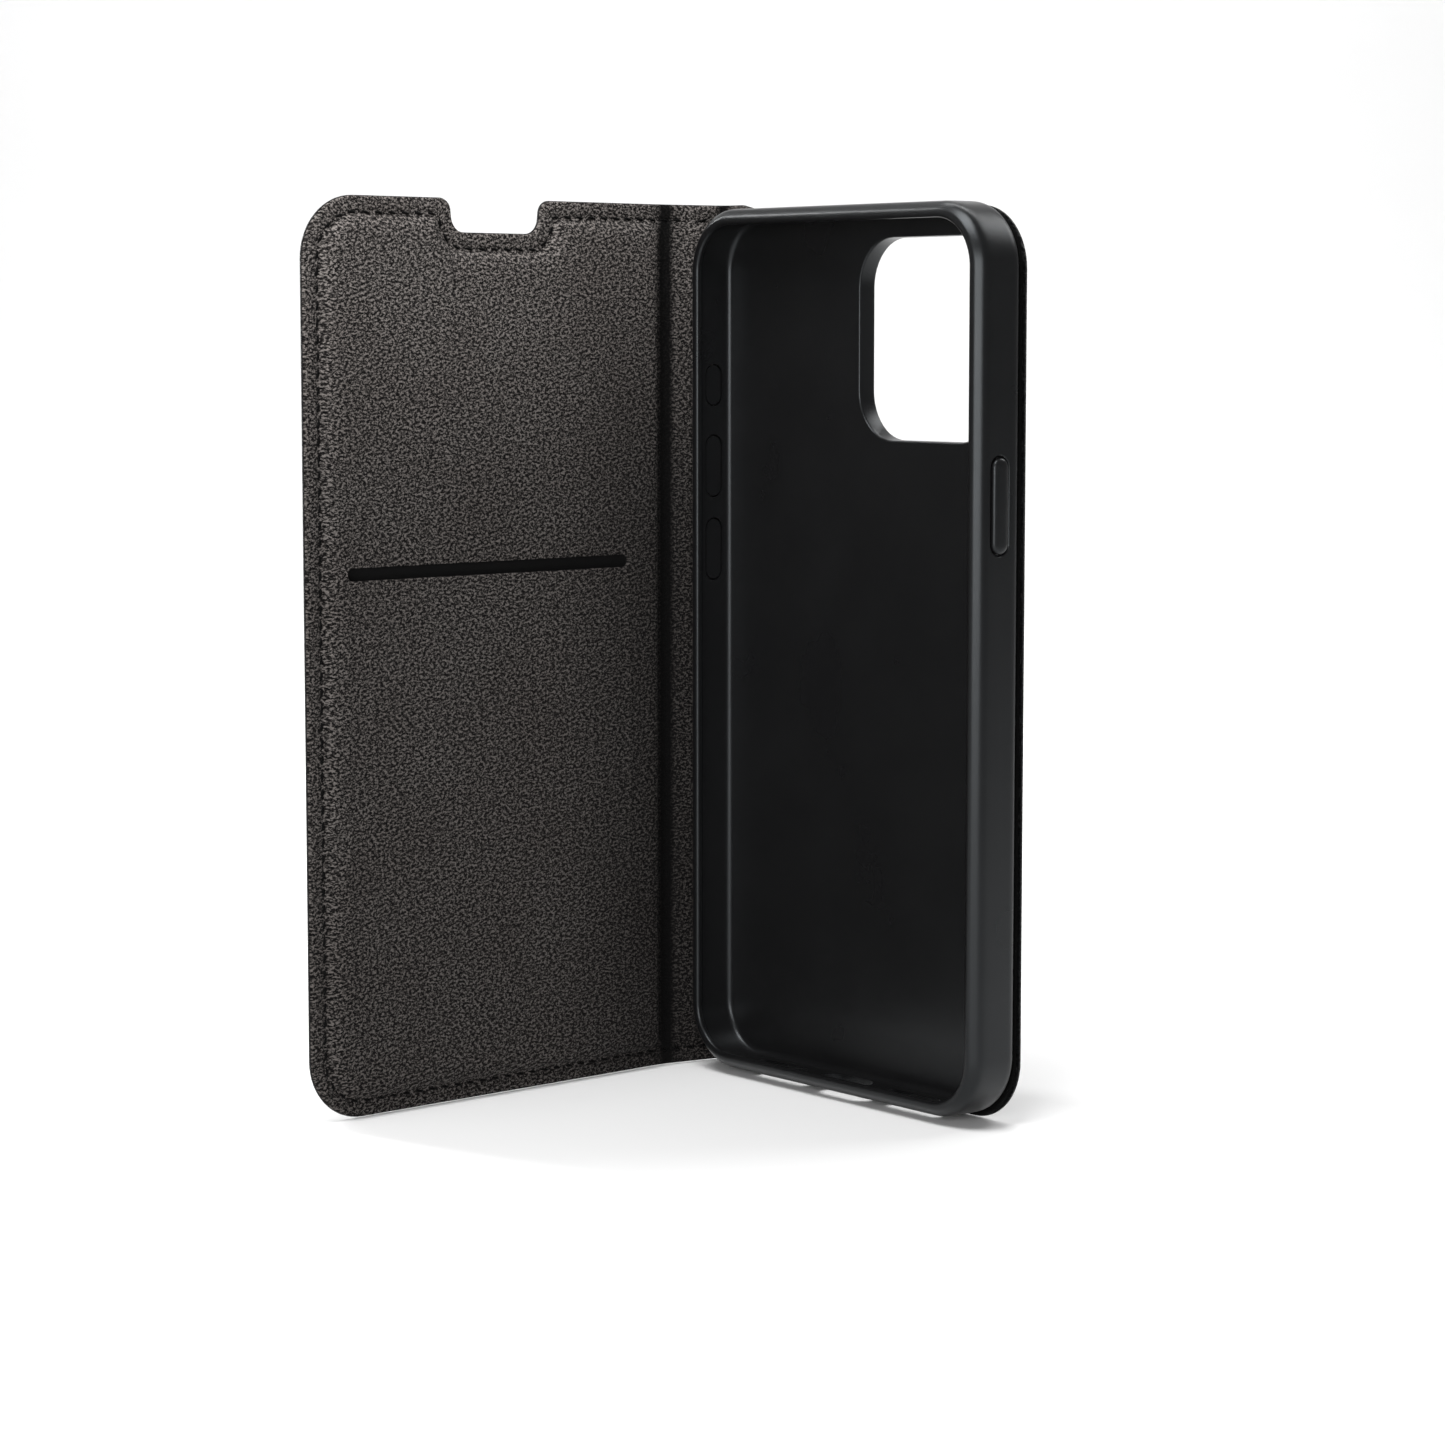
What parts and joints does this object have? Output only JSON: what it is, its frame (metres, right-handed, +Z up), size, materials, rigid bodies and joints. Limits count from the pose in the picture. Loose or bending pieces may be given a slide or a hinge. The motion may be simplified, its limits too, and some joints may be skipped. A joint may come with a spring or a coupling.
{
  "type": "phone wallet case",
  "caption": "Folding phone case with a moulded tray, a lined cover with a card pocket, and a sewn leather outside, standing open.",
  "frame": {"origin": "centre of the bottom of the bounding box, with the case standing open on its bottom edges", "axes": "+Z up along the case's height, +X along the tray's width away from the spine, -Y the way the tray's open front faces and the open cover points"},
  "size_m": [0.0878, 0.1004, 0.167],
  "materials": {
    "outer_leather": "black leather with a fine pebbled grain, satin",
    "microfibre": "dark grey mottled microfibre, matt",
    "tpu": "black flexible plastic, finely textured",
    "button_tpu": "black flexible plastic, smooth",
    "board": "grey fibre board, matt",
    "adhesive": "clear adhesive sheet",
    "thread": "black waxed polyester thread",
    "lining_thread": "black fine polyester thread"
  },
  "bodies": {
    "tray": {"phone_shell": "tpu", "shell_adhesive": "adhesive", "back_lining": "microfibre", "back_skin": "outer_leather", "back_thread": "thread", "back_fold_skin": "outer_leather", "back_fold_lining": "microfibre"},
    "power_button": {"power_button": "button_tpu"},
    "action_button": {"action_button": "button_tpu"},
    "volume_up_button": {"volume_up_button": "button_tpu"},
    "volume_down_button": {"volume_down_button": "button_tpu"},
    "spine": {"spine_skin": "outer_leather", "spine_stiffener": "board", "spine_lining": "microfibre", "spine_thread_top": "thread", "spine_thread_bottom": "thread", "spine_bobbin_thread_top": "lining_thread", "spine_bobbin_thread_bottom": "lining_thread", "cover_fold_skin": "outer_leather", "cover_fold_lining": "microfibre"},
    "cover": {"cover_skin": "outer_leather", "cover_board": "board", "pocket_spacer": "board", "cover_lining": "microfibre", "cover_thread": "thread", "cover_bobbin_thread": "lining_thread"}
  },
  "joints": [
    {"name": "spine_fold", "type": "hinge", "parent": "tray", "child": "spine", "pos_m": [-0.04054, 0.0487, 0.0835], "axis": [0, 0, 1], "range_deg": [-170, 10], "deforming": ["back_fold_skin", "back_fold_lining"]},
    {"name": "cover_fold", "type": "hinge", "parent": "spine", "child": "cover", "pos_m": [-0.04305, 0.03442, 0.0835], "axis": [0, 0, 1], "range_deg": [-103, 77], "deforming": ["cover_fold_skin", "cover_fold_lining"]},
    {"name": "power_button_press", "type": "slide", "parent": "tray", "child": "power_button", "axis": [-1, 0, 0], "range_m": [0, 0.0003], "stiffness_N_per_m": 2000},
    {"name": "action_button_press", "type": "slide", "parent": "tray", "child": "action_button", "axis": [1, 0, 0], "range_m": [0, 0.0003], "stiffness_N_per_m": 2000},
    {"name": "volume_up_button_press", "type": "slide", "parent": "tray", "child": "volume_up_button", "axis": [1, 0, 0], "range_m": [0, 0.0003], "stiffness_N_per_m": 2000},
    {"name": "volume_down_button_press", "type": "slide", "parent": "tray", "child": "volume_down_button", "axis": [1, 0, 0], "range_m": [0, 0.0003], "stiffness_N_per_m": 2000}
  ]
}
